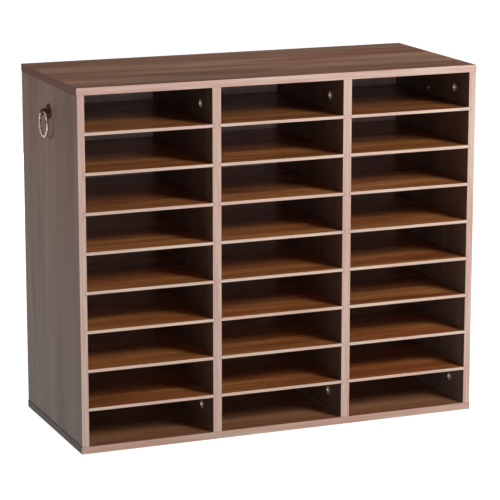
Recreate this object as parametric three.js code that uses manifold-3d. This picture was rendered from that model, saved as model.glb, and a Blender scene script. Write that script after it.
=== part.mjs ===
// A pigeonhole mail sorter: a flat-pack cabinet of walnut-faced boards with three columns of slots.
// Thin shelves slide in grooves in the uprights. Cam locks and bolts hold the uprights between the
// top and bottom panels, and a ring pull hangs on each side.

import * as THREE from "three";
import { mergeVertices } from "three/addons/utils/BufferGeometryUtils.js";
import Module from "manifold-3d";

const wasm = await Module();
wasm.setup();

// Sizes are in millimetres. X runs across the front, Y from front to back and Z up.
// The origin is under the middle of the cabinet, on the surface that it stands on.

// Cabinet
const cabinetHeight = 610;
const cabinetDepth = 305;
const slotWidth = 220; // clear width between two uprights, for letter paper
const rowCount = 9;
const columnNames = ["left", "middle", "right"];

// Boards
const outerBoard = 12; // top, bottom and sides
const dividerBoard = 15;
const shelfBoard = 5;
const backBoard = 3;
const backInset = 13; // from the rear edges to the rear of the back boards
const shelfRearGap = 0.5;

// Grooves for the shelves and the back boards
const grooveDepth = 3;
const grooveClearance = 0.3;

// Cam locks, set in round pockets in the uprights
const camWall = 2.1;
const camHeadRoom = 2.2; // room in the cam all round the bolt's head
const camClearance = 0.3;
const camBoardLeft = 2.2; // board left behind a cam's pocket
const camFromEnd = 34; // from the upright's end to the cam's centre
const camFromFront = 54;
const camFromRear = 54;
const camCrossLength = 7;
const camCrossWidth = 1.6;
const camCrossFloor = 1;
const camSlotLead = 34; // degrees of slot on one side of the bolt
const camSlotSweep = 150; // degrees of slot on the other side, up to the gate for the bolt's head

// Bolts that stand in the top and bottom panels, for the cams to grip
const boltShaft = 6.4;
const boltNeck = 4;
const boltNeckLength = 5;
const boltHead = 6.4;
const boltHeadLength = 3;
const boltClearance = 0.4;
const boltRoot = 6; // depth of a bolt in its panel

// Dowels that stand in the ends of the uprights
const dowelDiameter = 6;
const dowelReach = 8;
const dowelClearance = 0.3;

// Ring pulls
const pullAboveShelf = 13; // from the top of the first shelf to the middle of the rosette
const rosetteDiameter = 26;
const rosetteRim = 1.2;
const rosetteCrown = 2.6;
const rosetteStep = 1.5; // how far the crown's edge lies inside the rim
const postDiameter = 8;
const eyeDiameter = 12;
const eyeStandOff = 9; // from the rosette's back to the ring's pivot
const ringDiameter = 46; // outside
const ringWire = 4;
const ringClearance = 0.35;
const seatGap = 0.3; // between a pull or its screw and the side board

// Screws that hold the pulls from inside the cabinet
const screwDiameter = 4;
const screwHead = 8;
const screwHeadHeight = 2.4;
const screwHeadRim = 0.8;
const screwTip = 0.8;
const screwClearance = 0.3;
const screwEndGap = 0.5;
const screwWall = 1.2; // metal between the screw's hole and the eye
const screwCrossLength = 4.6;
const screwCrossWidth = 1.1;
const screwCrossDepth = 1.3;

// How finely round pieces are cut
const camSides = 16;
const boltSides = 10;
const rosetteSides = 20;
const eyeRings = 8;
const eyeHoleSides = 14;
const ringSteps = 32;
const wireSides = 8;
const overcut = 1; // how far a cutter reaches past the face that it opens

// Finishes
const walnut = { color: 0x6b4a3a, roughness: 0.55, metalness: 0 };
const walnutShelf = { color: 0x6a4630, roughness: 0.55, metalness: 0 };
const greyedWalnut = { color: 0x4a3d38, roughness: 0.7, metalness: 0 };
const zinc = { color: 0xc9c8c6, roughness: 0.35, metalness: 1 };
const bronzedNickel = { color: 0x9c8172, roughness: 0.28, metalness: 1 };
const steel = { color: 0xb4b6bb, roughness: 0.3, metalness: 1 };

// Places that follow from the sizes
const columnCount = columnNames.length;
const cabinetWidth = columnCount * slotWidth + (columnCount - 1) * dividerBoard + 2 * outerBoard;
const frontY = -cabinetDepth / 2;
const rearY = cabinetDepth / 2;
const floorZ = outerBoard;
const ceilingZ = cabinetHeight - outerBoard;
const slotHeight = (ceilingZ - floorZ - (rowCount - 1) * shelfBoard) / rowCount;
const backFrontY = rearY - backInset - backBoard;
const grooveReach = grooveDepth - grooveClearance; // how far a shelf or back board enters its groove
const camCavityRadius = boltHead / 2 + camHeadRoom;
const camRadius = camCavityRadius + camWall;
const boltHeadStart = camFromEnd - Math.sqrt((camCavityRadius - boltClearance) ** 2 - (boltHead / 2) ** 2);
const ringRadius = (ringDiameter - ringWire) / 2;
const ringSag = ringRadius - Math.sqrt(ringRadius ** 2 - (eyeDiameter / 2) ** 2);
const eyeHoleRadius = ringWire / 2 + ringSag / 2 + ringClearance;

const columnLeft = (column) => -cabinetWidth / 2 + outerBoard + column * (slotWidth + dividerBoard);
const shelfTop = (row) => ceilingZ - row * slotHeight - (row - 1) * shelfBoard;

const rodAxis = new THREE.Vector3(0, 1, 0);
const pullZ = shelfTop(1) + pullAboveShelf;

// A closed solid from a three.js geometry
function solid(geometry) {
  const bare = geometry.clone();
  bare.deleteAttribute("normal");
  bare.deleteAttribute("uv");
  const welded = mergeVertices(bare);
  const corners = welded.index.array;
  const triangles = [];
  for (let i = 0; i < corners.length; i += 3) {
    const [a, b, c] = corners.slice(i, i + 3);
    if (a !== b && b !== c && c !== a) {
      triangles.push(a, b, c);
    }
  }
  return new wasm.Manifold(new wasm.Mesh({
    numProp: 3,
    vertProperties: new Float32Array(welded.attributes.position.array),
    triVerts: new Uint32Array(triangles),
  }));
}

// A three.js geometry from a solid
function shaped(body) {
  const mesh = body.getMesh();
  const geometry = new THREE.BufferGeometry();
  geometry.setAttribute("position", new THREE.BufferAttribute(mesh.vertProperties, 3));
  geometry.setIndex(new THREE.BufferAttribute(mesh.triVerts, 1));
  geometry.computeVertexNormals();
  return geometry;
}

// A named piece with a finish of its own
function piece(name, geometry, finish) {
  const mesh = new THREE.Mesh(geometry, new THREE.MeshStandardMaterial(finish));
  mesh.name = name;
  return mesh;
}

// A block between its low and high corners
function block(low, high) {
  const size = high.map((value, axis) => value - low[axis]);
  const middle = high.map((value, axis) => (value + low[axis]) / 2);
  return solid(new THREE.BoxGeometry(...size).translate(...middle));
}

// A round rod between two points
function rod(radius, start, end, sides) {
  const along = new THREE.Vector3().subVectors(end, start);
  const geometry = new THREE.CylinderGeometry(radius, radius, along.length(), sides);
  const middle = new THREE.Vector3().addVectors(start, end).multiplyScalar(0.5);
  geometry.applyQuaternion(new THREE.Quaternion().setFromUnitVectors(rodAxis, along.normalize()));
  return solid(geometry.translate(middle.x, middle.y, middle.z));
}

// A turned piece on the Y axis, from a profile of [radius, height] points
function turned(profile, sides) {
  const points = profile.map(([radius, height]) => new THREE.Vector2(radius, height));
  return new THREE.LatheGeometry(points, sides);
}

// A slice of a ring around the Y axis, with its angles measured from X
function ringSlice(inner, outer, fromDegrees, toDegrees, low, high) {
  const from = THREE.MathUtils.degToRad(fromDegrees);
  const to = THREE.MathUtils.degToRad(toDegrees);
  const outline = new THREE.Shape();
  outline.absarc(0, 0, outer, from, to, false);
  outline.absarc(0, 0, inner, to, from, true);
  const slice = new THREE.ExtrudeGeometry(outline, {
    depth: high - low,
    bevelEnabled: false,
    curveSegments: camSides / 2,
  });
  return solid(slice.rotateX(-Math.PI / 2).translate(0, low, 0));
}

// A cross for a driver's recess, standing on the Y axis between two heights
function cross(length, width, low, high) {
  const along = block([-length / 2, low, -width / 2], [length / 2, high, width / 2]);
  const across = block([-width / 2, low, -length / 2], [width / 2, high, length / 2]);
  return along.add(across);
}

// The uprights, from left to right, and the side on which each has its cams
const uprights = [
  { name: "left_side", left: -cabinetWidth / 2, board: outerBoard, camSide: 1 },
  { name: "left_divider", left: columnLeft(0) + slotWidth, board: dividerBoard, camSide: -1 },
  { name: "right_divider", left: columnLeft(1) + slotWidth, board: dividerBoard, camSide: -1 },
  { name: "right_side", left: columnLeft(2) + slotWidth, board: outerBoard, camSide: -1 },
];

// Where each upright is locked to the top and bottom panels
const locks = [];
for (const upright of uprights) {
  for (const end of ["top", "bottom"]) {
    for (const place of ["front", "rear"]) {
      const outward = end === "top" ? 1 : -1;
      locks.push({
        name: `cam_${upright.name}_${end}_${place}`,
        upright,
        end,
        outward,
        faceX: upright.camSide > 0 ? upright.left + upright.board : upright.left,
        middleX: upright.left + upright.board / 2,
        y: place === "front" ? frontY + camFromFront : rearY - camFromRear,
        endZ: end === "top" ? ceilingZ : floorZ,
      });
    }
  }
}

const camZ = (lock) => lock.endZ - lock.outward * camFromEnd;

// The room that a shelf needs: its groove is open at the front and runs into the back board's groove
function shelfRoom(column, row) {
  const left = columnLeft(column);
  const top = shelfTop(row);
  return block(
    [left - grooveDepth, frontY - overcut, top - shelfBoard - grooveClearance],
    [left + slotWidth + grooveDepth, backFrontY, top + grooveClearance],
  );
}

// The room that a back board needs in the four boards around it
function backRoom(column) {
  const left = columnLeft(column);
  return block(
    [left - grooveDepth, backFrontY - grooveClearance, floorZ - grooveDepth],
    [left + slotWidth + grooveDepth, backFrontY + backBoard + grooveClearance, ceilingZ + grooveDepth],
  );
}

function dowel(upright, panelZ, outward, radius, reach, root) {
  const middleX = upright.left + upright.board / 2;
  const start = new THREE.Vector3(middleX, 0, panelZ - outward * root);
  const end = new THREE.Vector3(middleX, 0, panelZ + outward * reach);
  return rod(radius, start, end, boltSides);
}

// An upright with its grooves, cam pockets, bolt holes and dowels
function uprightBoard(upright) {
  let board = block(
    [upright.left, frontY, floorZ],
    [upright.left + upright.board, rearY, ceilingZ],
  );
  for (let column = 0; column < columnCount; column += 1) {
    board = board.subtract(backRoom(column));
    for (let row = 1; row < rowCount; row += 1) {
      board = board.subtract(shelfRoom(column, row));
    }
  }
  for (const lock of locks.filter((each) => each.upright === upright)) {
    const z = camZ(lock);
    const pocketStart = new THREE.Vector3(lock.faceX + upright.camSide * overcut, lock.y, z);
    const pocketDepth = upright.board - camBoardLeft;
    const pocketEnd = new THREE.Vector3(lock.faceX - upright.camSide * pocketDepth, lock.y, z);
    const holeStart = new THREE.Vector3(lock.middleX, lock.y, lock.endZ + lock.outward * overcut);
    const holeEnd = new THREE.Vector3(lock.middleX, lock.y, z);
    board = board.subtract(rod(camRadius + camClearance, pocketStart, pocketEnd, camSides));
    board = board.subtract(rod(boltShaft / 2 + boltClearance, holeStart, holeEnd, boltSides));
  }
  for (const [panelZ, outward] of [[ceilingZ, 1], [floorZ, -1]]) {
    board = board.add(dowel(upright, panelZ, outward, dowelDiameter / 2, dowelReach, dowelReach));
  }
  return board;
}

// A side board also has the hole for its pull's screw
function pullHole(upright) {
  const start = new THREE.Vector3(upright.left - overcut, 0, pullZ);
  const end = new THREE.Vector3(upright.left + upright.board + overcut, 0, pullZ);
  return rod(screwDiameter / 2 + screwClearance, start, end, boltSides);
}

// A bolt that stands on the panel's face at height 0, with a neck and head for the cam
function bolt() {
  const headEnd = boltHeadStart + boltHeadLength;
  const shaftEnd = boltHeadStart - boltNeckLength;
  return turned([
    [0, -boltRoot],
    [boltShaft / 2, -boltRoot],
    [boltShaft / 2, shaftEnd],
    [boltNeck / 2, shaftEnd],
    [boltNeck / 2, boltHeadStart],
    [boltHead / 2, boltHeadStart],
    [boltHead / 2, headEnd],
    [0, headEnd],
  ], boltSides);
}

// The top or bottom panel, with the back boards' grooves, the dowel holes and its bolts
function endPanel(end, lowZ, innerZ, outward) {
  let board = block(
    [-cabinetWidth / 2, frontY, lowZ],
    [cabinetWidth / 2, rearY, lowZ + outerBoard],
  );
  for (let column = 0; column < columnCount; column += 1) {
    board = board.subtract(backRoom(column));
  }
  for (const upright of uprights) {
    const radius = dowelDiameter / 2 + dowelClearance;
    const reach = dowelReach + dowelClearance;
    board = board.subtract(dowel(upright, innerZ, outward, radius, reach, overcut));
  }
  for (const lock of locks.filter((each) => each.end === end)) {
    const standing = bolt().rotateX(-outward * Math.PI / 2).translate(lock.middleX, lock.y, innerZ);
    board = board.add(solid(standing));
  }
  return board;
}

// A cam for a board: a cup whose wall has a slot for the bolt's neck and a gate for its head.
// Its face looks along Y, and the bolt comes in along X.
function cam(board) {
  const height = board - camBoardLeft - camClearance;
  const boltDepth = board / 2;
  const headRoom = boltHead / 2 + boltClearance;
  const neckRoom = boltNeck / 2 + boltClearance;
  const faceThickness = boltDepth - headRoom;
  const cup = solid(turned([
    [0, -faceThickness],
    [camCavityRadius, -faceThickness],
    [camCavityRadius, -height],
    [camRadius, -height],
    [camRadius, 0],
    [0, 0],
  ], camSides));
  const slot = ringSlice(
    camCavityRadius - overcut,
    camRadius + overcut,
    -camSlotLead,
    camSlotSweep,
    -boltDepth - neckRoom,
    -boltDepth + neckRoom,
  );
  const gate = ringSlice(
    camCavityRadius - overcut,
    camRadius + overcut,
    camSlotSweep - 2 * camSlotLead,
    camSlotSweep,
    -boltDepth - headRoom,
    -faceThickness,
  );
  const recess = cross(camCrossLength, camCrossWidth, camCrossFloor - faceThickness, overcut);
  return cup.subtract(slot).subtract(gate).subtract(recess);
}

function placeCam(mesh, lock) {
  const towardsBolt = new THREE.Vector3(0, 0, lock.outward);
  const outOfFace = new THREE.Vector3(lock.upright.camSide, 0, 0);
  const across = new THREE.Vector3().crossVectors(towardsBolt, outOfFace);
  const turn = new THREE.Matrix4().makeBasis(towardsBolt, outOfFace, across);
  mesh.quaternion.setFromRotationMatrix(turn);
  mesh.position.set(lock.faceX, lock.y, camZ(lock));
  return mesh;
}

// The fixed half of a ring pull, standing on the XZ plane and reaching out along Y
function pullBase() {
  const rim = rosetteDiameter / 2;
  const rosette = solid(turned([
    [0, 0],
    [rim, 0],
    [rim, rosetteRim],
    [rim - rosetteStep, rosetteRim + (rosetteCrown - rosetteRim) / 2],
    [postDiameter / 2, rosetteCrown],
    [0, rosetteCrown],
  ], rosetteSides));
  const pivot = new THREE.Vector3(0, eyeStandOff, 0);
  const post = rod(postDiameter / 2, new THREE.Vector3(0, rosetteCrown / 2, 0), pivot, rosetteSides);
  const eye = solid(new THREE.SphereGeometry(eyeDiameter / 2, rosetteSides, eyeRings)
    .translate(0, eyeStandOff, 0));
  const eyeHole = rod(
    eyeHoleRadius,
    new THREE.Vector3(-eyeDiameter, eyeStandOff, 0),
    new THREE.Vector3(eyeDiameter, eyeStandOff, 0),
    eyeHoleSides,
  );
  const screwHole = rod(
    screwDiameter / 2 + screwClearance,
    new THREE.Vector3(0, -overcut, 0),
    new THREE.Vector3(0, screwHoleDepth(), 0),
    boltSides,
  );
  return rosette.add(post).add(eye).subtract(eyeHole).subtract(screwHole);
}

function screwHoleDepth() {
  return eyeStandOff - eyeHoleRadius - screwWall;
}

// The ring, hanging from the eye
function pullRing() {
  const ring = new THREE.TorusGeometry(ringRadius, ringWire / 2, wireSides, ringSteps);
  return solid(ring.rotateX(Math.PI / 2).translate(0, eyeStandOff, ringSag / 2 - ringRadius));
}

// The screw, from its head inside the cabinet to its tip in the post
function pullScrew() {
  const seat = -outerBoard - 2 * seatGap;
  const head = seat - screwHeadHeight;
  const tip = screwHoleDepth() - screwEndGap;
  const screw = solid(turned([
    [0, head],
    [screwHead / 2 - screwHeadRim, head],
    [screwHead / 2, head + screwHeadRim],
    [screwHead / 2, seat],
    [screwDiameter / 2, seat],
    [screwDiameter / 2, tip - screwTip],
    [screwDiameter / 2 - screwTip, tip],
    [0, tip],
  ], boltSides));
  const recess = cross(screwCrossLength, screwCrossWidth, head - overcut, head + screwCrossDepth);
  return screw.subtract(recess);
}

// A ring pull on one side of the cabinet
function ringPull(side, outward) {
  const pull = new THREE.Group();
  pull.add(piece(`${side}_pull_base`, shaped(pullBase()), bronzedNickel));
  pull.add(piece(`${side}_pull_ring`, shaped(pullRing()), bronzedNickel));
  pull.add(piece(`${side}_pull_screw`, shaped(pullScrew()), steel));
  pull.position.set(outward * (cabinetWidth / 2 + seatGap), 0, pullZ);
  pull.rotation.z = -outward * Math.PI / 2;
  return pull;
}

const sorter = new THREE.Group();

sorter.add(piece("top_panel", shaped(endPanel("top", ceilingZ, ceilingZ, 1)), walnut));
sorter.add(piece("bottom_panel", shaped(endPanel("bottom", 0, floorZ, -1)), walnut));

for (const upright of uprights) {
  const board = uprightBoard(upright);
  const isSide = upright.name.endsWith("_side");
  const bored = isSide ? board.subtract(pullHole(upright)) : board;
  sorter.add(piece(upright.name, shaped(bored), walnut));
}

const fittedWidth = slotWidth + 2 * grooveReach;
const backHeight = ceilingZ - floorZ + 2 * grooveReach;
const shelfDepth = backFrontY - shelfRearGap - frontY;

columnNames.forEach((columnName, column) => {
  const middleX = columnLeft(column) + slotWidth / 2;
  const back = piece(
    `back_panel_${columnName}`,
    new THREE.BoxGeometry(fittedWidth, backBoard, backHeight),
    greyedWalnut,
  );
  back.position.set(middleX, backFrontY + backBoard / 2, cabinetHeight / 2);
  sorter.add(back);
  for (let row = 1; row < rowCount; row += 1) {
    const shelf = piece(
      `shelf_${columnName}_${row}`,
      new THREE.BoxGeometry(fittedWidth, shelfDepth, shelfBoard),
      walnutShelf,
    );
    shelf.position.set(middleX, frontY + shelfDepth / 2, shelfTop(row) - shelfBoard / 2);
    sorter.add(shelf);
  }
});

for (const lock of locks) {
  const drum = piece(lock.name, shaped(cam(lock.upright.board)), zinc);
  sorter.add(placeCam(drum, lock));
}

sorter.add(ringPull("left", -1));
sorter.add(ringPull("right", 1));

export default sorter;
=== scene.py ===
# %% [markdown]
# # A pigeonhole mail sorter
# The object is a flat-pack cabinet for post: walnut-faced boards, three columns of thin shelves, and a
# ring pull on each side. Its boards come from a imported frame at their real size, in metres, with X
# across the front, Y from front to back and Z up. They could be modelled again here, but the frame's
# boards already have their grooves and bores, so the lesson keeps them and gives them finishes. It then
# adds what is too fine for the frame: edge bands, turned cam faces, cross recesses and smooth rings.

# %% Load the frame
import math

import bmesh
import bpy
from mathutils import Matrix, Vector


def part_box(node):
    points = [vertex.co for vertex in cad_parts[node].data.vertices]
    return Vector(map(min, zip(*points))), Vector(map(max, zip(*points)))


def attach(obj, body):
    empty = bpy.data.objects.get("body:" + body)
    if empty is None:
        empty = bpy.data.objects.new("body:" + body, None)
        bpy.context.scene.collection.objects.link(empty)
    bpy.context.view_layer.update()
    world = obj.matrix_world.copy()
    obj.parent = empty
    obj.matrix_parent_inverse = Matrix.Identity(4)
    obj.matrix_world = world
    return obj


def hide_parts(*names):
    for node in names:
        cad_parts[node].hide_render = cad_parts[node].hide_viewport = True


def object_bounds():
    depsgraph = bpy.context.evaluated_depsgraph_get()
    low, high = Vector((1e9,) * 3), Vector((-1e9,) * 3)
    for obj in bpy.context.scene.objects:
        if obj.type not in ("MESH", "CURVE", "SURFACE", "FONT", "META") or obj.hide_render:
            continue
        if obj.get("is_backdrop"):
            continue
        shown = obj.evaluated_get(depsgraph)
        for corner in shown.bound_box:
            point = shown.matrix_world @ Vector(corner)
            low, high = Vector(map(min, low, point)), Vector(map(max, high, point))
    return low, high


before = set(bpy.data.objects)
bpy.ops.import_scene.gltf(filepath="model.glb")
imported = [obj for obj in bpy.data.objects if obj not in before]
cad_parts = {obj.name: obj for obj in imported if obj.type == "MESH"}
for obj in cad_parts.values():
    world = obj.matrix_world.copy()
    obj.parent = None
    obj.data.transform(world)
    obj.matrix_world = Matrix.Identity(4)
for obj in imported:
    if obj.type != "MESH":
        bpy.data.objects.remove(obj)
cad_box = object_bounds()
mm = 0.001

# %% [markdown]
# ## The camera
# The sorter is seen from the front left, from a little above. A camera can be placed by eye, but here
# its place and turn were solved from the cabinet's corners in the picture, so the perspective is right
# as well. The lens is long, as for a product picture, and the camera has no shift, so it can go round
# the object.

# %% Camera
camera_place = Vector((-1.5045, -3.7220, 1.1813))
camera_yaw = math.radians(22.05)
camera_pitch = math.radians(12.59)
camera_lens = 170.4

camera_data = bpy.data.cameras.new("camera")
camera_data.lens = camera_lens
camera_data.sensor_width = 36
camera = bpy.data.objects.new("camera", camera_data)
camera.location = camera_place
camera.rotation_euler = (math.pi / 2 - camera_pitch, 0, -camera_yaw)
bpy.context.scene.collection.objects.link(camera)
bpy.context.scene.camera = camera
print("camera:", camera_lens, "mm lens,", round(camera_place.length, 2), "m away")

# %% [markdown]
# ## Sizes from the frame
# The bands and finishes need to know where the boards' faces lie. These planes could be typed in again,
# but reading them from the frame keeps the two models together when a size changes.

# %% Board planes
uprights = ["left_side", "left_divider", "right_divider", "right_side"]
columns = ["left", "middle", "right"]
shelf_count = sum(name.startswith("shelf_left_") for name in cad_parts)

panel_low, panel_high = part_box("top_panel")
front_y = panel_low.y
rear_y = panel_high.y
side_x = panel_high.x
cabinet_height = panel_high.z
outer_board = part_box("right_side")[1].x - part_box("right_side")[0].x
divider_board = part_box("right_divider")[1].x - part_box("right_divider")[0].x
floor_z = outer_board
ceiling_z = cabinet_height - outer_board
groove_clearance = 0.3 * mm
thicknesses = [round(board / mm, 1) for board in (outer_board, divider_board)]
print("outer boards and dividers:", thicknesses, "mm;", shelf_count, "shelves a column")

# %% [markdown]
# ## Node helpers
# A procedural finish is a small network of nodes. It can be wired by hand in the shader editor. In a
# script a short helper that adds a node, sets its options and links its sockets keeps each finish
# readable.

# %% Node helpers
def add_node(tree, kind, inputs=None, **options):
    node = tree.nodes.new("ShaderNode" + kind)
    for name, value in options.items():
        setattr(node, name, value)
    for key, value in (inputs or {}).items():
        if isinstance(value, bpy.types.NodeSocket):
            tree.links.new(value, node.inputs[key])
        else:
            node.inputs[key].default_value = value
    return node


def maths(tree, operation, first, second=0.0, third=0.0):
    return add_node(tree, "Math", {0: first, 1: second, 2: third}, operation=operation).outputs[0]


def weighted(tree, parts):
    """The sum of (value, share) parts."""
    total = 0.0
    for value, share in parts:
        total = maths(tree, "MULTIPLY_ADD", value, share, total)
    return total


def mixed(tree, share, first, second, blend="MIX"):
    inputs = {0: share, 6: first, 7: second}
    return add_node(tree, "Mix", inputs, data_type="RGBA", blend_type=blend).outputs[2]


def remapped(tree, value, low, high, new_low=0.0, new_high=1.0):
    inputs = {0: value, 1: low, 2: high, 3: new_low, 4: new_high}
    return add_node(tree, "MapRange", inputs).outputs[0]


def ramp(tree, value, stops):
    node = add_node(tree, "ValToRGB", {0: value})
    elements = node.color_ramp.elements
    while len(elements) < len(stops):
        elements.new(1.0)
    for element, (place, shade) in zip(elements, stops):
        element.position = place
        element.color = shade
    return node.outputs[0]


def even_noise(tree, places, scale, detail):
    inputs = {"Vector": places, "Scale": scale, "Detail": detail}
    return add_node(tree, "TexNoise", inputs).outputs[0]


def bumped(tree, strength, relief, height):
    """A surface that leans as if a height, from 0 to 1, stood out by the relief."""
    inputs = {"Strength": strength, "Distance": relief, "Height": height}
    return add_node(tree, "Bump", inputs).outputs[0]


def paint(red, green, blue):
    """A colour as it is seen on a screen, 0 to 255, in the linear values that shaders use."""
    def linear(value):
        share = value / 255
        return share / 12.92 if share <= 0.04045 else ((share + 0.055) / 1.055) ** 2.4
    return (linear(red), linear(green), linear(blue), 1.0)


def new_finish(name):
    finish = bpy.data.materials.new(name)
    finish.use_nodes = True
    tree = finish.node_tree
    shader = tree.nodes["Principled BSDF"]
    places = add_node(tree, "TexCoord").outputs["Object"]
    return finish, tree, shader, places


def connect(tree, shader, sockets):
    for name, value in sockets.items():
        if isinstance(value, bpy.types.NodeSocket):
            tree.links.new(value, shader.inputs[name])
        else:
            shader.inputs[name].default_value = value


print("node helpers ready")

# %% [markdown]
# ## Walnut laminate
# The boards are faced with a printed walnut paper under a satin resin. Walnut has long, nearly straight
# streaks of tan, brown and red, fine fibres and short dark pores. An image could show them, but noise
# that is stretched along the grain does it at any scale: one layer for each of those widths, blended
# into one tone. The boards share one space, so each of them cuts its own part of the pattern.

# %% Walnut print
X_AXIS, Y_AXIS, Z_AXIS = 0, 1, 2


def grain_noise(tree, places, along, length, width, detail=2.0):
    scale = [1 / width] * 3
    scale[along] = 1 / length
    stretched = add_node(tree, "Mapping", {"Vector": places, "Scale": scale}).outputs[0]
    return even_noise(tree, stretched, 1.0, detail)


def wandering(tree, places, amount):
    """Places that drift sideways, so that the grain isn't ruled straight."""
    noise = add_node(tree, "TexNoise", {"Vector": places, "Scale": 2.6, "Detail": 1.0}).outputs[1]
    middle = (0.5, 0.5, 0.5)
    centred = add_node(tree, "VectorMath", {0: noise, 1: middle}, operation="SUBTRACT").outputs[0]
    drift = add_node(tree, "VectorMath", {0: centred, "Scale": amount}, operation="SCALE").outputs[0]
    return add_node(tree, "VectorMath", {0: places, 1: drift}, operation="ADD").outputs[0]


def walnut_print(tree, places, along, shades, breadth):
    """The colour of the print, the height of its fibres and pores, and the fibres alone."""
    drifting = wandering(tree, places, 30 * mm)
    streaks = grain_noise(tree, drifting, along, 520 * mm, breadth * 30 * mm, 3.0)
    lines = grain_noise(tree, drifting, along, 380 * mm, breadth * 5 * mm)
    fibres = grain_noise(tree, places, along, 80 * mm, 0.9 * mm)
    dashes = grain_noise(tree, places, along, 11 * mm, 0.45 * mm, 0.0)
    patches = grain_noise(tree, drifting, along, 600 * mm, breadth * 44 * mm, 3.0)
    tone = weighted(tree, [(streaks, 0.62), (lines, 0.24), (fibres, 0.14)])
    wood = ramp(tree, tone, [(0.36, shades["dark"]), (0.50, shades["middle"]), (0.63, shades["light"])])
    red_share = remapped(tree, patches, 0.50, 0.66, 0.0, 0.60)
    tan_share = remapped(tree, patches, 0.48, 0.34, 0.0, 0.50)
    wood = mixed(tree, red_share, wood, shades["red"])
    wood = mixed(tree, tan_share, wood, shades["tan"])
    pores = remapped(tree, dashes, 0.60, 0.72)
    pore_share = maths(tree, "MULTIPLY", pores, 0.40)
    wood = mixed(tree, pore_share, wood, shades["pore"])
    height = maths(tree, "SUBTRACT", maths(tree, "MULTIPLY", fibres, 0.5), pores)
    return wood, height, fibres


print("walnut print: streaks, lines, fibres, pores, and red and tan patches")

# %% [markdown]
# ## The core of the boards
# Where a board is cut, at its rear edge and in its grooves and bores, the laminate stops and the
# pressed chips of the core show. A second piece could line each groove, but the finish can tell by
# itself: a point that lies deeper than the laminate's skin is core. Chips are the cells of a Voronoi
# texture.

# %% Chipboard core
laminate_skin = 0.15 * mm
chip_pale = paint(198, 164, 122)
chip_brown = paint(150, 112, 76)
chip_dark = paint(112, 80, 54)
core_relief = 0.4
core_roughness = 0.85
satin_spread = 0.06
print_relief = 0.12 * mm


def chipboard(tree, places, chip_size):
    chips = add_node(tree, "TexVoronoi", {"Vector": places, "Scale": 1 / chip_size, "Randomness": 1.0})
    tone = add_node(tree, "SeparateColor", {0: chips.outputs["Color"]}).outputs[0]
    dust = even_noise(tree, places, 0.5 / chip_size, 4.0)
    blend = weighted(tree, [(tone, 0.6), (dust, 0.4)])
    stops = [(0.18, chip_dark), (0.42, chip_brown), (0.75, chip_pale)]
    return ramp(tree, blend, stops), chips.outputs["Distance"]


def within(tree, value, middle, reach):
    """1 where a value lies within reach of the middle, and 0 elsewhere."""
    offset = maths(tree, "ABSOLUTE", maths(tree, "SUBTRACT", value, middle))
    return maths(tree, "LESS_THAN", offset, reach)


def coordinate(tree, places, axis):
    return add_node(tree, "SeparateXYZ", {0: places}).outputs[axis]


def faced_board(name, along, shades, chip_size, core_mask, gloss, satin=0.50, breadth=1.0, marks=(),
                greying=None):
    """A board's finish: walnut on its faces, core where core_mask is 1, and (mask, colour) marks."""
    finish, tree, shader, places = new_finish(name)
    wood, wood_height, fibres = walnut_print(tree, places, along, shades, breadth)
    core, core_height = chipboard(tree, places, chip_size)
    mask = core_mask(tree, places)
    colour = mixed(tree, mask, wood, core)
    for mark, mark_colour in marks:
        colour = mixed(tree, mark(tree, places), colour, mark_colour)
    if greying:
        saturation, brightness = greying(tree, places)
        inputs = {"Saturation": saturation, "Value": brightness, "Color": colour}
        colour = add_node(tree, "HueSaturation", inputs).outputs[0]
    sheen = remapped(tree, fibres, 0.3, 0.7, satin - satin_spread, satin + satin_spread)
    roughness = maths(tree, "MAXIMUM", sheen, maths(tree, "MULTIPLY", mask, core_roughness))
    core_part = maths(tree, "MULTIPLY", mask, core_relief)
    height = maths(tree, "MULTIPLY_ADD", core_height, core_part, wood_height)
    connect(tree, shader, {
        "Base Color": colour,
        "Roughness": roughness,
        "Normal": bumped(tree, 0.35, print_relief, height),
        "Specular IOR Level": gloss,
    })
    return finish


print("chipboard core: chips show below", laminate_skin / mm, "mm of laminate")

# %% [markdown]
# ## Shades and masks of the boards
# The top and bottom have their grain along the cabinet, and the uprights have theirs upright. The sides
# have the broadest streaks, and a painted sheen greys and pales them towards the floor. The core masks
# fold the space at the cabinet's middle, so that one mask serves the two sides, the two dividers, or the
# top and the bottom. Three more masks mark the beech dowels in the uprights' ends and the lines in their
# joints: dust and a painted shadow outside, a painted highlight inside. One marks the steel bolts in the
# panels.

# %% Board masks
walnut_shades = {
    "dark": paint(85, 58, 46),
    "middle": paint(119, 86, 68),
    "light": paint(148, 113, 90),
    "red": paint(108, 62, 48),
    "tan": paint(125, 100, 78),
    "pore": paint(60, 39, 31),
}
side_shades = {
    "dark": paint(112, 86, 70),
    "middle": paint(127, 100, 83),
    "light": paint(142, 115, 97),
    "red": paint(132, 93, 80),
    "tan": paint(124, 106, 81),
    "pore": paint(82, 63, 53),
}
divider_shades = {
    "dark": paint(101, 79, 67),
    "middle": paint(116, 92, 79),
    "light": paint(131, 107, 92),
    "red": paint(121, 85, 76),
    "tan": paint(113, 98, 77),
    "pore": paint(75, 58, 50),
}
floor_shades = {
    "dark": paint(118, 80, 56),
    "middle": paint(142, 98, 68),
    "light": paint(162, 117, 84),
    "red": paint(142, 87, 60),
    "tan": paint(148, 109, 70),
    "pore": paint(78, 51, 37),
}
shelf_shades = {
    "dark": paint(110, 63, 34),
    "middle": paint(158, 98, 54),
    "light": paint(192, 130, 76),
    "red": paint(156, 80, 40),
    "tan": paint(170, 114, 56),
    "pore": paint(76, 44, 26),
}
beech = paint(205, 170, 125)
bolt_steel = paint(168, 170, 174)
# Dust and a painted shadow in the joints, behind the bands' gaps.
joint_dust_and_shadow = paint(56, 43, 38)
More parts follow.
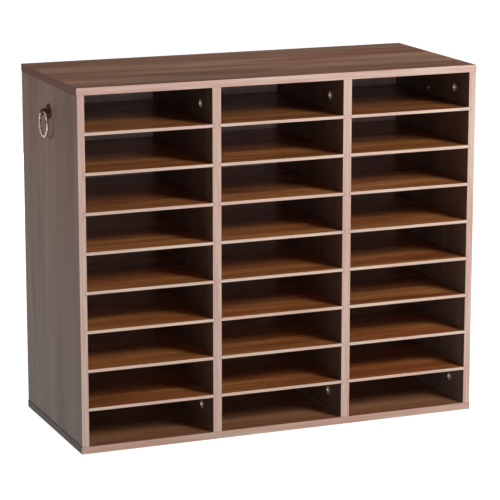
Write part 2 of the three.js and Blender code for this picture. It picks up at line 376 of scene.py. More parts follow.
# A pale painted highlight along the joints inside the cabinet.
joint_painted_highlight = paint(176, 156, 142)
joint_shadow = 1.1 * mm
just_past = 0.05 * mm
# The painted sheen of the sides: saturation and brightness at the floor, and brightness at the top.
floor_saturation = 0.55
floor_brightness = 1.06
top_brightness = 0.88
joint_height = cabinet_height / 2 - outer_board


def upright_core(middle_x, board):
    def mask(tree, places):
        folded = maths(tree, "ABSOLUTE", coordinate(tree, places, X_AXIS))
        return within(tree, folded, middle_x, board / 2 - laminate_skin)
    return mask


def from_middle_height(tree, places):
    above = maths(tree, "SUBTRACT", coordinate(tree, places, Z_AXIS), cabinet_height / 2)
    return maths(tree, "ABSOLUTE", above)


def panel_core(tree, places):
    board_middle = joint_height + outer_board / 2
    return within(tree, from_middle_height(tree, places), board_middle, outer_board / 2 - laminate_skin)


def beyond_joint(tree, places):
    """1 on a dowel, which stands past the end of its upright."""
    return maths(tree, "GREATER_THAN", from_middle_height(tree, places), joint_height + just_past)


def before_joint(tree, places):
    """1 on a bolt, which reaches past the inner face of its panel."""
    return maths(tree, "LESS_THAN", from_middle_height(tree, places), joint_height - just_past)


def at_joint(tree, places):
    return within(tree, from_middle_height(tree, places), joint_height, joint_shadow)


def at_inner_joint(tree, places):
    """1 at the joints inside the cabinet, where a pale line is painted as a highlight."""
    folded = maths(tree, "ABSOLUTE", coordinate(tree, places, X_AXIS))
    inside = maths(tree, "LESS_THAN", folded, side_x - outer_board / 2)
    return maths(tree, "MULTIPLY", inside, at_joint(tree, places))


def painted_sheen_greying(tree, places):
    """The saturation and brightness of the print, a painted sheen: greyer and paler towards the floor,
    darker towards the top.
    """
    height = coordinate(tree, places, Z_AXIS)
    saturation = remapped(tree, height, 0, cabinet_height, floor_saturation, 1.0)
    brightness = remapped(tree, height, 0, cabinet_height, floor_brightness, top_brightness)
    return saturation, brightness


def shelf_core(column):
    low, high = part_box(f"shelf_{column}_1")
    middle_x = (low.x + high.x) / 2
    face_reach = (high.x - low.x) / 2 - laminate_skin

    def mask(tree, places):
        on_face = within(tree, coordinate(tree, places, X_AXIS), middle_x, face_reach)
        before_rear = maths(tree, "LESS_THAN", coordinate(tree, places, Y_AXIS), high.y - laminate_skin)
        return maths(tree, "SUBTRACT", 1.0, maths(tree, "MULTIPLY", on_face, before_rear))
    return mask


print("masks: cores, dowels, bolts and joint lines")

# %% [markdown]
# ## Finishes of the boards
# The boards share one print, but not one gloss. The top is nearly matt, the sides and dividers pick up
# a little of the pale room, and the bottom and the thin shelves, which are fibreboard with finer chips,
# are the smoothest: deep in a slot they mirror the back board. One function makes all the finishes,
# because only the shades, the grain's direction, the core and the gloss change.

# %% Board finishes
chip = 1.6 * mm
fine_chip = 0.5 * mm
top_gloss = 0.004
floor_gloss = 1.0
floor_satin = 0.29
side_gloss = 0.05
divider_gloss = 0.24
side_breadth = 1.6
shelf_gloss = 0.75
shelf_satin = 0.29


def dress(node, finish):
    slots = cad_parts[node].data.materials
    slots.clear()
    slots.append(finish)


bolts = [(before_joint, bolt_steel)]
# Joint marks: dust and a painted shadow, then a painted highlight inside, then the beech dowels.
joints = [(at_joint, joint_dust_and_shadow), (at_inner_joint, joint_painted_highlight), (beyond_joint, beech)]
top_finish = faced_board("walnut_top", X_AXIS, walnut_shades, chip, panel_core, top_gloss, marks=bolts)
bottom_finish = faced_board("walnut_bottom", X_AXIS, floor_shades, chip, panel_core, floor_gloss,
                            floor_satin, marks=bolts)
side_core = upright_core(side_x - outer_board / 2, outer_board)
# The sides' print greys and pales towards the floor and darkens towards the top: a painted sheen.
side_finish = faced_board("walnut_sides", Z_AXIS, side_shades, chip, side_core, side_gloss,
                          breadth=side_breadth, marks=joints, greying=painted_sheen_greying)
divider_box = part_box("right_divider")
divider_middle = (divider_box[0].x + divider_box[1].x) / 2
divider_core = upright_core(divider_middle, divider_board)
divider_finish = faced_board("walnut_dividers", Z_AXIS, divider_shades, chip, divider_core,
                             divider_gloss, marks=joints)

dress("top_panel", top_finish)
dress("bottom_panel", bottom_finish)
for upright in uprights:
    dress(upright, side_finish if upright.endswith("side") else divider_finish)
for column in columns:
    core = shelf_core(column)
    name = f"walnut_shelves_{column}"
    shelf_finish = faced_board(name, X_AXIS, shelf_shades, fine_chip, core, shelf_gloss, shelf_satin)
    for row in range(1, shelf_count + 1):
        dress(f"shelf_{column}_{row}", shelf_finish)
print("board finishes on 2 panels,", len(uprights), "uprights and", len(columns) * shelf_count, "shelves")

# %% [markdown]
# ## The back boards
# Three thin fibreboards close the back. They carry a duller print inside, and bare brown fibre outside.
# The same board finish serves, with a mask that leaves the print only on the front face.

# %% Back boards
back_shades = {
    "dark": paint(158, 137, 134),
    "middle": paint(178, 155, 151),
    "light": paint(195, 172, 168),
    "red": paint(178, 148, 146),
    "tan": paint(178, 159, 149),
    "pore": paint(122, 104, 102),
}
back_gloss = 0.2
back_rear_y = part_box("back_panel_left")[1].y


def back_core(tree, places):
    return maths(tree, "GREATER_THAN", coordinate(tree, places, Y_AXIS), back_rear_y - laminate_skin)


back_finish = faced_board("back_board_print", Z_AXIS, back_shades, fine_chip, back_core, back_gloss)
for column in columns:
    dress(f"back_panel_{column}", back_finish)
print("back boards:", len(columns))

# %% [markdown]
# ## Edge band finish
# The front edges wear a pale plastic band, printed with soft streaks of rose and cream that run along
# it. It is smoother than the faces. The same stretched noise serves, with less contrast: one noise for
# the tone and another that leads from rose to cream. The shelves' thin bands are a little paler, and
# the bottom's is a little deeper, a painted shade at the cabinet's foot.

# %% Edge band finish
white = (1.0, 1.0, 1.0, 1.0)
streak_dark = (0.82, 0.81, 0.80, 1.0)
streak_middle = (0.96, 0.96, 0.96, 1.0)
band_gloss = 0.4
band_relief = 0.05 * mm


def edge_band_finish(name, along, rose, cream):
    finish, tree, shader, places = new_finish(name)
    streaks = grain_noise(tree, places, along, 160 * mm, 6 * mm, 3.0)
    hues = grain_noise(tree, places, along, 110 * mm, 3.5 * mm, 2.0)
    lines = grain_noise(tree, places, along, 90 * mm, 0.7 * mm)
    hue = mixed(tree, remapped(tree, hues, 0.40, 0.60), rose, cream)
    tone = weighted(tree, [(streaks, 0.65), (lines, 0.35)])
    shade = ramp(tree, tone, [(0.34, streak_dark), (0.5, streak_middle), (0.66, white)])
    connect(tree, shader, {
        "Base Color": mixed(tree, 1.0, hue, shade, "MULTIPLY"),
        "Roughness": remapped(tree, lines, 0.3, 0.7, 0.36, 0.46),
        "Normal": bumped(tree, 0.2, band_relief, lines),
        "Specular IOR Level": band_gloss,
    })
    return finish


board_rose, board_cream = paint(206, 164, 152), paint(208, 184, 167)
shelf_rose, shelf_cream = paint(214, 180, 166), paint(218, 196, 176)
# The bottom's band is deeper: a painted shade at the foot.
shaded_foot_rose, shaded_foot_cream = paint(193, 152, 137), paint(196, 168, 150)
band_along_x = edge_band_finish("edge_band_level", X_AXIS, board_rose, board_cream)
band_along_z = edge_band_finish("edge_band_upright", Z_AXIS, board_rose, board_cream)
band_on_shelf = edge_band_finish("edge_band_shelf", X_AXIS, shelf_rose, shelf_cream)
shaded_foot_band = edge_band_finish("edge_band_foot_shaded", X_AXIS, shaded_foot_rose, shaded_foot_cream)
front_bands = {"top_panel": band_along_x, "bottom_panel": shaded_foot_band}
print("edge bands: four pale finishes")

# %% [markdown]
# ## End bands
# The ends of the top and the bottom wear a walnut band with its grain along the end. The bottom's is a
# much darker grey brown, a painted shade low on the cabinet. Both use the board finish without a
# core.

# %% End band finishes
# The bottom's end band: a painted shade, darker and greyer than the top's walnut band.
shaded_base_shades = {
    "dark": paint(62, 57, 53),
    "middle": paint(72, 66, 62),
    "light": paint(82, 76, 70),
    "red": paint(73, 63, 59),
    "tan": paint(74, 69, 61),
    "pore": paint(44, 39, 36),
}
end_shades = {
    "dark": paint(91, 57, 45),
    "middle": paint(106, 69, 56),
    "light": paint(120, 82, 68),
    "red": paint(108, 60, 49),
    "tan": paint(109, 78, 60),
    "pore": paint(64, 40, 33),
}
end_gloss = 0.03
base_gloss = 0.12


def no_core(tree, places):
    return 0.0


end_bands = {
    "top_panel": faced_board("walnut_end_band", Y_AXIS, end_shades, chip, no_core, end_gloss),
    "bottom_panel": faced_board("shaded_end_band", Y_AXIS, shaded_base_shades, chip, no_core, base_gloss),
}
print("end bands:", ", ".join(end_bands))

# %% [markdown]
# ## From bmesh to piece
# Each new piece starts as a bmesh. One helper welds it, turns its faces outwards, makes it an object at
# the origin and lets it ride on its body, so that it follows when the body moves.

# %% Piece helper
weld_distance = 0.001 * mm
smooth_below = math.radians(32)


def new_piece(name, bm, finish, body, turned=False):
    bmesh.ops.remove_doubles(bm, verts=bm.verts, dist=weld_distance)
    bmesh.ops.recalc_face_normals(bm, faces=bm.faces)
    mesh = bpy.data.meshes.new(name)
    bm.to_mesh(mesh)
    bm.free()
    mesh.materials.append(finish)
    if turned:
        mesh.shade_smooth()
        mesh.set_sharp_from_angle(angle=smooth_below)
    piece = bpy.data.objects.new(name, mesh)
    bpy.context.scene.collection.objects.link(piece)
    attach(piece, body)
    return piece


def sharp_edges(bm, angle=math.radians(40)):
    return [e for e in bm.edges if e.is_manifold and e.calc_face_angle(0) > angle]


def rounded(bm, edges, radius, segments=2):
    bmesh.ops.bevel(bm, geom=edges, offset=radius, segments=segments, profile=0.5, affect="EDGES",
                    material=-1, clamp_overlap=True)


print("piece helper ready")

# %% [markdown]
# ## Straight bands
# A band is a strip 0.4 mm thick, glued on a board's edge and trimmed, with its outer arrises just
# broken. It could be drawn on the board as a stripe, but as a piece of its own it has a real joint line
# and catches the light. The shelves' bands ride on the shelves and slide out with them.

# %% Straight bands
band_thickness = 0.4 * mm
band_round = 0.16 * mm
end_thickness = 1.0 * mm
end_round = 0.5 * mm
joint_line = 0.5 * mm


def strip(low, high, outward, radius):
    """A flat strip whose outer edges, on the side that outward points to, are rounded."""
    bm = bmesh.new()
    bmesh.ops.create_cube(bm, size=1)
    bmesh.ops.scale(bm, vec=high - low, verts=bm.verts)
    bmesh.ops.translate(bm, vec=(low + high) / 2, verts=bm.verts)
    middle = (low + high) / 2
    outer = [e for e in bm.edges if all((v.co - middle).dot(outward) > 0 for v in e.verts)]
    rounded(bm, outer, radius)
    return bm


forward = Vector((0, -1, 0))
band_y = front_y - band_thickness
band_x = side_x + end_thickness
for panel, low_z in [("top_panel", ceiling_z), ("bottom_panel", 0)]:
    low = Vector((-band_x, band_y, low_z))
    high = Vector((band_x, front_y, low_z + outer_board))
    bm = strip(low, high, forward, band_round)
    new_piece(f"{panel}_front_band", bm, front_bands[panel], "cabinet")
    for side, sign in [("left", -1), ("right", 1)]:
        low = Vector((min(sign * side_x, sign * band_x), front_y, low_z))
        high = Vector((max(sign * side_x, sign * band_x), rear_y, low_z + outer_board))
        bm = strip(low, high, Vector((sign, 0, 0)), end_round)
        new_piece(f"{panel}_{side}_end_band", bm, end_bands[panel], "cabinet")

for column in columns:
    for row in range(1, shelf_count + 1):
        shelf = f"shelf_{column}_{row}"
        low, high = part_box(shelf)
        bm = strip(Vector((low.x, band_y, low.z)), Vector((high.x, front_y, high.z)), forward, band_round)
        new_piece(f"{shelf}_front_band", bm, band_on_shelf, shelf)
print("straight bands:", 2 + 4 + len(columns) * shelf_count)

# %% [markdown]
# ## Notched bands of the uprights
# The grooves run out through the uprights' front edges, so their bands are notched for every shelf end.
# A boolean could cut the notches, but a flat sheet that is bisected along the grooves' lines, with the
# notch faces deleted, gives clean corners. Solidify then makes it a strip.

# %% Notched bands
notch_margin = 0.25 * mm


def sheet_cut(bm, place, normal):
    geometry = bm.verts[:] + bm.edges[:] + bm.faces[:]
    bmesh.ops.bisect_plane(bm, geom=geometry, plane_co=place, plane_no=normal, dist=weld_distance)


def notches(upright):
    """(low x, high x, low z, high z) of each notch in an upright's band."""
    low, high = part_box(upright)
    found = []
    for column in columns:
        for row in range(1, shelf_count + 1):
            shelf_low, shelf_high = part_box(f"shelf_{column}_{row}")
            room = groove_clearance + notch_margin
            left, right = shelf_low.x - room, shelf_high.x + room
            if left < high.x and right > low.x:
                notch = (max(left, low.x), min(right, high.x), shelf_low.z - room, shelf_high.z + room)
                found.append(notch)
    return found


def notched_band(upright):
    low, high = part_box(upright)
    bottom, top = floor_z + joint_line, ceiling_z - joint_line
    bm = bmesh.new()
    bmesh.ops.create_grid(bm, x_segments=1, y_segments=1, size=0.5)
    bmesh.ops.scale(bm, vec=(high.x - low.x, top - bottom, 1), verts=bm.verts)
    bmesh.ops.rotate(bm, cent=(0, 0, 0), matrix=Matrix.Rotation(math.pi / 2, 3, "X"), verts=bm.verts)
    bmesh.ops.translate(bm, vec=((low.x + high.x) / 2, front_y, (top + bottom) / 2), verts=bm.verts)
    cuts = notches(upright)
    for x in sorted({edge for cut in cuts for edge in cut[:2]} - {low.x, high.x}):
        sheet_cut(bm, (x, 0, 0), (1, 0, 0))
    for z in sorted({edge for cut in cuts for edge in cut[2:]}):
        sheet_cut(bm, (0, 0, z), (0, 0, 1))

    def in_notch(face):
        place = face.calc_center_median()
        return any(a < place.x < b and c < place.z < d for a, b, c, d in cuts)

    bmesh.ops.delete(bm, geom=[f for f in bm.faces if in_notch(f)], context="FACES")
    bmesh.ops.solidify(bm, geom=bm.faces[:], thickness=band_thickness)
    front = min(v.co.y for v in bm.verts)
    bmesh.ops.translate(bm, vec=(0, band_y - front, 0), verts=bm.verts)

    def at_front(edge):
        return all(v.co.y < band_y + weld_distance for v in edge.verts)

    rounded(bm, [e for e in sharp_edges(bm) if at_front(e)], band_round)
    return bm, len(cuts)


for upright in uprights:
    bm, count = notched_band(upright)
    new_piece(f"{upright}_front_band", bm, band_along_z, "cabinet")
    print(upright, "band with", count, "notches")

# %% [markdown]
# ## Metal finishes
# The cams are bright zinc castings and the screws are plated steel. The pulls' bases are dark bronze,
# and hands have rubbed the rings bright. A metal is mostly its reflections, so the finishes vary in
# tone and roughness, with a fine bump for the casting's skin. Most metals turn white at a grazing
# angle, but patina keeps the bronze brown there.

# %% Metal finishes
cloud_scale = 260.0
casting_relief = 0.04 * mm


def metal_finish(name, bright, dull, smooth, rough, grit, grazing=white):
    finish, tree, shader, places = new_finish(name)
    clouds = even_noise(tree, places, cloud_scale, 5.0)
    grains = even_noise(tree, places, 1 / grit, 2.0)
    share = remapped(tree, clouds, 0.35, 0.68)
    connect(tree, shader, {
        "Base Color": mixed(tree, share, bright, dull),
        "Roughness": remapped(tree, clouds, 0.3, 0.7, smooth, rough),
        "Normal": bumped(tree, 0.25, casting_relief, grains),
        "Metallic": 1.0,
        "Specular Tint": grazing,
    })
    return finish


zinc = metal_finish("cam_zinc_cast", paint(236, 233, 230), paint(208, 205, 202), 0.32, 0.46, 0.5 * mm)
steel = metal_finish("screw_steel_plate", paint(205, 207, 210), paint(160, 162, 168), 0.22, 0.36,
                     0.3 * mm)
bronze = metal_finish("pull_dark_bronze", paint(90, 68, 58), paint(55, 41, 35), 0.26, 0.40, 0.4 * mm,
                      grazing=paint(188, 153, 136))
rubbed = metal_finish("pull_rubbed_nickel", paint(220, 188, 172), paint(92, 68, 58), 0.10, 0.20,
                      0.4 * mm)
print("metals: zinc, steel, dark bronze and rubbed nickel")

# %% [markdown]
# ## Turning and driver recesses
# Cams, screws and rosettes are round, so each is a profile spun about its axis, with its sharp arrises
# rounded. A driver's cross can't be spun: a small square sheet is cut into nine fields, the five fields
# of the cross are pushed down, and the square is bridged to the round opening that the spin left.

# %% Turning helpers
def spun(profile, steps):
    """A turned shell about Z, from (radius, height) points."""
    bm = bmesh.new()
    points = [bm.verts.new((radius, 0, height)) for radius, height in profile]
    edges = [bm.edges.new(pair) for pair in zip(points, points[1:])]
    bmesh.ops.spin(bm, geom=points + edges, cent=(0, 0, 0), axis=(0, 0, 1), dvec=(0, 0, 0),
                   angle=math.tau, steps=steps, use_merge=True)
    bmesh.ops.remove_doubles(bm, verts=bm.verts, dist=weld_distance)
    return bm


def cross_recess(bm, height, length, width, depth, taper=0.82):
    """Closes the round opening at a height with a flat field that holds a driver's cross."""
    rim = [e for e in bm.edges if e.is_boundary]
    sheet = bmesh.ops.create_grid(bm, x_segments=3, y_segments=3, size=length / 2)["verts"]
    for vert in sheet:
        for axis in (X_AXIS, Y_AXIS):
            inner = abs(vert.co[axis]) < length / 3
            if inner:
                vert.co[axis] = math.copysign(width / 2, vert.co[axis])
        vert.co.z = height
    fields = {f for v in sheet for f in v.link_faces}
    outline = [e for e in {e for f in fields for e in f.edges} if e.is_boundary]
    bmesh.ops.bridge_loops(bm, edges=rim + outline)
    arms = [f for f in fields if min(abs(c) for c in f.calc_center_median()[:2]) < width / 2]
    pushed = bmesh.ops.extrude_face_region(bm, geom=arms)["geom"]
    bmesh.ops.delete(bm, geom=[f for f in arms if f.is_valid], context="FACES")
    floor_verts = [g for g in pushed if isinstance(g, bmesh.types.BMVert)]
    bmesh.ops.scale(bm, vec=(taper, taper, 1), verts=floor_verts)
    bmesh.ops.translate(bm, vec=(0, 0, -depth), verts=floor_verts)


def placed(bm, origin, z_towards, x_towards):
    """Stands a piece that was turned about Z at its origin, with its Z and X axes as given."""
    y_towards = z_towards.cross(x_towards)
    turn = Matrix((x_towards, y_towards, z_towards)).transposed().to_4x4()
    bmesh.ops.transform(bm, matrix=Matrix.Translation(origin) @ turn, verts=bm.verts)


print("turning helpers ready")

# %% [markdown]
# ## Cam locks
# A cam lock is a small zinc cup in a round pocket of an upright. Its wall has a slot for a bolt's neck
# and a gate for the bolt's head, and turning it with a driver pulls the joint tight. Only its face
# shows: a rim round a shallow dish with a cross in it, and the dish's wall is what glints. The cup is
# spun, the wall's fields in the slot are deleted, and the hole's inner and outer edges are bridged.

# %% Cam locks
cam_steps = 48
cam_wall = 2.1 * mm
cam_round = 0.25 * mm
neck_room = 2.4 * mm
head_room = 3.4 * mm
slot_angles = (-34, 150)
gate_angles = (82, 150)
foot_left = 0.6 * mm
cross_rim = 5.2 * mm
face_sunk = 1.7 * mm
rim_width = 0.6 * mm
face_taper = 0.5 * mm
cross_length = 7 * mm
cross_width = 1.6 * mm
cross_depth = 0.6 * mm


def wall_hole(bm, radius_low, radius_high, fields):
    """Cuts fields of (angles, low, high) out of both walls of a cup and bridges the two outlines."""
    def inside(face):
        place = face.calc_center_median()
        radius = place.to_2d().length
        angle = math.degrees(math.atan2(place.y, place.x))
        on_wall = radius_low < radius < radius_high and abs(face.normal.z) < 0.1
        return on_wall and any(a < angle < b and c < place.z < d for (a, b), c, d in fields)

    before = {e for e in bm.edges if e.is_boundary}
    bm.normal_update()
    bmesh.ops.delete(bm, geom=[f for f in bm.faces if inside(f)], context="FACES")
    outline = [e for e in bm.edges if e.is_boundary and e not in before]
    bmesh.ops.bridge_loops(bm, edges=outline)


def cam_cup(radius, height, bolt_depth):
    inner = radius - cam_wall
    face = bolt_depth - head_room
    low = max(-bolt_depth - head_room, foot_left - height)
    levels = [-face, neck_room - bolt_depth, -neck_room - bolt_depth, low, -height]
    outer_wall = [(radius, z) for z in levels]
    inner_wall = [(inner, z) for z in reversed(levels)]
    lip = radius - rim_width
    dish = [(cross_rim, -face_sunk), (lip - face_taper, -face_sunk), (lip, 0)]
    bm = spun(dish + [(radius, 0)] + outer_wall + inner_wall + [(0, -face)], cam_steps)
    slot = (slot_angles, levels[2], levels[1])
    gate = (gate_angles, levels[3], levels[0])
    wall_hole(bm, inner - cam_wall / 4, radius + cam_wall / 4, [slot, gate])

    def on_rim(vert):
        return abs(vert.co.to_2d().length - radius) < weld_distance and vert.co.z > -weld_distance

    rim = [e for e in sharp_edges(bm) if all(on_rim(v) for v in e.verts)]
    rounded(bm, rim, cam_round, 3)
    cross_recess(bm, -face_sunk, cross_length, cross_width, cross_depth)
    return bm


up = Vector((0, 0, 1))
right = Vector((1, 0, 0))
cam_nodes = sorted(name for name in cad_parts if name.startswith("cam_"))
for node in cam_nodes:
    low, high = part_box(node)
    outward = right if node.startswith("cam_left_side") else -right
    to_bolt = up if "_top_" in node else -up
    middle = (low + high) / 2
    board = outer_board if "_side_" in node else divider_board
    bm = cam_cup((high.y - low.y) / 2, high.x - low.x, board / 2)
    face_x = high.x if outward.x > 0 else low.x
    placed(bm, Vector((face_x, middle.y, middle.z)), outward, to_bolt)
    cam = new_piece(node.replace("cam_", "cam_lock_"), bm, zinc, "cabinet", turned=True)
    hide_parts(node)
print("cam locks:", len(cam_nodes), "of", len(cam.data.polygons), "faces each")

# %% [markdown]
# ## Screws of the pulls
# Each pull is held by one pan-head screw from inside the cabinet. It is a spun profile with the same
# cross.

# %% Pull screws
screw_steps = 36
head_flat = 3.3 * mm
head_edge = [(0.35, 0.12), (0.08, 0.45), (0, 0.9)]
head_height = 2.4 * mm
shank_radius = 2 * mm
tip_taper = 0.8 * mm
driver_length = 4.6 * mm
driver_width = 1.1 * mm
driver_depth = 1.3 * mm


def pan_head_screw(head_radius, length):
    """A screw along Z with the top of its head at 0. Its head's edge has (inset, depth) points in mm."""
    dome = [(head_radius - inset * mm, -depth * mm) for inset, depth in head_edge]
    head = [(head_flat, 0)] + dome + [(head_radius, -head_height)]
    shank = [(shank_radius, -head_height), (shank_radius, tip_taper - length),
             (shank_radius - tip_taper, -length), (0, -length)]
    bm = spun(head + shank, screw_steps)
    cross_recess(bm, 0, driver_length, driver_width, driver_depth)
    return bm


for side, outward in [("left", -right), ("right", right)]:
    node = f"{side}_pull_screw"
    low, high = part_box(node)
    middle = (low + high) / 2
    bm = pan_head_screw((high.y - low.y) / 2, high.x - low.x)
    head_x = high.x if outward.x < 0 else low.x
    placed(bm, Vector((head_x, middle.y, middle.z)), -outward, up)
    screw = new_piece(f"{side}_pull_pan_screw", bm, steel, "cabinet", turned=True)
    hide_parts(node)
print("pull screws: 2 of", len(screw.data.polygons), "faces each")

# %% [markdown]
# ## Ring pulls
# A pull is a turned rosette with a post, an eye at the post's end, and a ring that hangs through the
# eye. The rosette and post are one spun profile. The eye is a bead with a hole, so it is spun about the
# hole's own axis. A boolean union makes the two one casting, and a difference bores it for the screw.
# The ring is a circle spun about its middle.

# %% Ring pulls
rosette_steps = 72
bead_steps = 40
ring_steps = 96
wire_sides = 24
bead_turns = 14
mouth_round = 0.35 * mm
post_inset = 9 * mm
rim_bead = [(0, 0.7), (0.25, 1.05), (0.8, 1.2), (1.4, 1.05), (1.7, 0.85)]
dome_and_neck = [(2.1, 1.1), (2.8, 1.65), (4.4, 2.2), (6.6, 2.5), (7.6, 2.75), (8.4, 3.3), (8.9, 4.2)]


def rosette(radius, post_end):
    """A turned foot: mouldings of (inset, height) in millimetres, and a post."""
    mouldings = [(radius - inset * mm, height * mm) for inset, height in rim_bead + dome_and_neck]
    post = [(radius - post_inset, post_end), (0, post_end)]
    return spun([(0, 0), (radius, 0)] + mouldings + post, rosette_steps)


def bead(radius, hole, stand_off):
    """A ball with a hole along Y, from its profile spun about Y."""
    mouth = math.asin(hole / radius)
    arc = [mouth + (math.pi - 2 * mouth) * i / bead_turns for i in range(bead_turns + 1)]
    profile = [(radius * math.sin(a), radius * math.cos(a)) for a in arc]
    bm = spun(profile + profile[:1], bead_steps)
    rounded(bm, sharp_edges(bm), mouth_round, 3)
    bmesh.ops.rotate(bm, cent=(0, 0, 0), matrix=Matrix.Rotation(math.pi / 2, 3, "X"), verts=bm.verts)
    bmesh.ops.translate(bm, vec=(0, 0, stand_off), verts=bm.verts)
    return bm


def combined(first, second, operation):
    """The union or difference of two closed shells, as one bmesh."""
    objects = []
    for bm in (first, second):
        bmesh.ops.recalc_face_normals(bm, faces=bm.faces)
        mesh = bpy.data.meshes.new("shell")
        bm.to_mesh(mesh)
        bm.free()
        shell = bpy.data.objects.new("shell", mesh)
        bpy.context.scene.collection.objects.link(shell)
        objects.append(shell)
    boolean = objects[0].modifiers.new("boolean", "BOOLEAN")
    boolean.operation = operation
    boolean.solver = "EXACT"
    boolean.object = objects[1]
    result = bmesh.new()
    result.from_object(objects[0], bpy.context.evaluated_depsgraph_get())
    for shell in objects:
        bpy.data.objects.remove(shell)
    return result


def hanging_ring(radius, wire):
    bm = bmesh.new()
    circle = bmesh.ops.create_circle(bm, cap_ends=False, segments=wire_sides, radius=wire)["verts"]
    bmesh.ops.rotate(bm, cent=(0, 0, 0), matrix=Matrix.Rotation(math.pi / 2, 3, "X"), verts=circle)
    bmesh.ops.translate(bm, vec=(radius, 0, 0), verts=circle)
    bmesh.ops.spin(bm, geom=bm.verts[:] + bm.edges[:], cent=(0, 0, 0), axis=(0, 0, 1), dvec=(0, 0, 0),
                   angle=math.tau, steps=ring_steps, use_merge=True)
    return bm


eye_radius = 6 * mm
eye_hole = 2.79 * mm
eye_wall = 0.6 * mm
screw_bore = 2.3 * mm
bore_spare = 0.5 * mm
for side, outward in [("left", -right), ("right", right)]:
    base_low, base_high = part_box(f"{side}_pull_base")
    middle = (base_low + base_high) / 2
    stand_off = base_high.x - base_low.x - eye_radius
    back_x = base_high.x if outward.x < 0 else base_low.x
    screw_low, screw_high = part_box(f"{side}_pull_screw")
    tip_x = screw_low.x if outward.x < 0 else screw_high.x
    bore_end = abs(tip_x - back_x) + bore_spare
    foot = rosette((base_high.y - base_low.y) / 2, stand_off - eye_hole - eye_wall)
    bm = combined(foot, bead(eye_radius, eye_hole, stand_off), "UNION")
    bore_wall = [(screw_bore, -bore_spare), (screw_bore, bore_end)]
    bore = spun([(0, -bore_spare)] + bore_wall + [(0, bore_end)], screw_steps)
    bm = combined(bm, bore, "DIFFERENCE")
    placed(bm, Vector((back_x, middle.y, middle.z)), outward, up)
    base = new_piece(f"{side}_pull_rosette", bm, bronze, "cabinet", turned=True)
    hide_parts(f"{side}_pull_base")

    ring_low, ring_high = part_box(f"{side}_pull_ring")
    wire = (ring_high.x - ring_low.x) / 2
    bm = hanging_ring((ring_high.z - ring_low.z) / 2 - wire, wire)
    placed(bm, (ring_low + ring_high) / 2, outward, up)
    ring = new_piece(f"{side}_pull_hanging_ring", bm, rubbed, f"{side}_ring", turned=True)
    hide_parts(f"{side}_pull_ring")
print("ring pulls: 2;", len(base.data.polygons), "faces in a base,", len(ring.data.polygons), "in a ring")

# %% [markdown]
# ## Floor and background
# The sorter stands on a plain pale floor before a white background. White could be made by strong
# light, but that would bleach the walnut. The world shows white to the camera and to reflections and
# lights the object with a calmer grey. The floor does the same, and keeps the shadow.

# %% Floor and background
ambient = 0.06
floor_reach = 12
near_floor = 0.4
far_floor = 1.6
near_glow = 0.90
floor_gap = 0.4 * mm
floor_dark = (0.33, 0.33, 0.33, 1.0)
floor_pale = (0.37, 0.37, 0.37, 1.0)


def seen_directly(tree):
    """1 for rays that come from the camera, from gloss or through glass."""
    path = add_node(tree, "LightPath").outputs
    seen = maths(tree, "MAXIMUM", path["Is Camera Ray"], path["Is Glossy Ray"])
    return maths(tree, "MAXIMUM", seen, path["Is Transmission Ray"])


world = bpy.data.worlds.new("studio")
world.use_nodes = True
bpy.context.scene.world = world
sky = world.node_tree.nodes["Background"]
sky.inputs["Color"].default_value = white
sky_strength = remapped(world.node_tree, seen_directly(world.node_tree), 0.0, 1.0, ambient, 1.0)
world.node_tree.links.new(sky_strength, sky.inputs["Strength"])

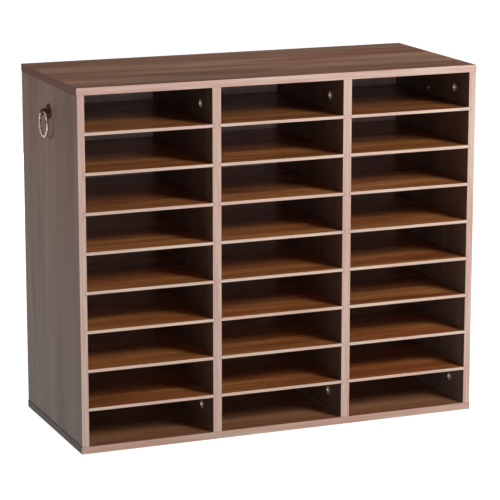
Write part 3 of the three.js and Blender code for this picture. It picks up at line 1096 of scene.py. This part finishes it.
floor_finish, tree, shader, places = new_finish("studio_floor")
speckle = even_noise(tree, places, 40.0, 3.0)
distance = add_node(tree, "VectorMath", {0: places}, operation="LENGTH").outputs[1]
glow = remapped(tree, distance, near_floor, far_floor, near_glow, 1.0)
connect(tree, shader, {
    "Base Color": ramp(tree, speckle, [(0.3, floor_dark), (0.7, floor_pale)]),
    "Roughness": 0.9,
    "Specular IOR Level": 0.1,
    "Emission Color": white,
    "Emission Strength": maths(tree, "MULTIPLY", seen_directly(tree), glow),
})
bm = bmesh.new()
bmesh.ops.create_grid(bm, x_segments=8, y_segments=8, size=floor_reach)
bmesh.ops.translate(bm, vec=(0, 0, -floor_gap), verts=bm.verts)
floor_mesh = bpy.data.meshes.new("floor")
bm.to_mesh(floor_mesh)
bm.free()
floor_mesh.materials.append(floor_finish)
floor = bpy.data.objects.new("floor", floor_mesh)
bpy.context.scene.collection.objects.link(floor)
floor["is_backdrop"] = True
print("floor:", 2 * floor_reach, "m across; world light", ambient)

# %% [markdown]
# ## Studio light
# The front edges are the brightest part of the picture, and the slots are lit only near their mouths,
# so the main light is a soft box at the right, in front and above. A level one in front reaches the
# back boards through the slots. One at each side stands behind the front plane, so that it lights the
# sides and never the slots. One overhead draws the top, and one low behind the cabinet lights its back,
# where neither the top nor the sides can mirror it. All are rectangles, which throw the soft shadows of
# a studio. All are hidden from gloss, because a shelf that is pulled out would mirror a lamp as a white
# glare. It mirrors the pale room.

# %% Lamps
def soft_box(name, place, aim, width, height, power):
    lamp = bpy.data.lights.new(name, "AREA")
    lamp.shape = "RECTANGLE"
    lamp.size = width
    lamp.size_y = height
    lamp.energy = power
    lamp_object = bpy.data.objects.new(name, lamp)
    lamp_object.location = place
    lamp_object.rotation_euler = (Vector(aim) - Vector(place)).to_track_quat("-Z", "Y").to_euler()
    lamp_object.visible_glossy = False
    bpy.context.scene.collection.objects.link(lamp_object)


middle_height = (0, 0, cabinet_height / 2)
soft_box("key_box", (1.2, -2.0, 1.6), middle_height, 0.8, 0.7, 60)
soft_box("front_box", (-0.4, -3.0, 0.55), middle_height, 1.0, 0.5, 10)
soft_box("left_box", (-2.2, 0.5, 1.0), middle_height, 0.9, 0.7, 17)
soft_box("right_box", (2.2, 0.6, 1.0), middle_height, 0.9, 0.7, 12)
soft_box("top_box", (-0.3, 0.0, 2.4), middle_height, 1.0, 1.0, 10)
soft_box("rear_box", (0.2, 2.6, 0.3), middle_height, 1.2, 0.5, 30)
bpy.context.scene.view_settings.view_transform = "Standard"
print("lamps:", len(bpy.data.lights))

# %% [markdown]
# ## Sizes, and the end
# The visual model has to stay as large as the frame says. Both boxes are printed side by side.

# %% Sizes and finish
visual_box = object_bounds()
for name, box in [("cad", cad_box), ("visual", visual_box)]:
    print(name, "box:", [tuple(round(value, 4) for value in corner) for corner in box])
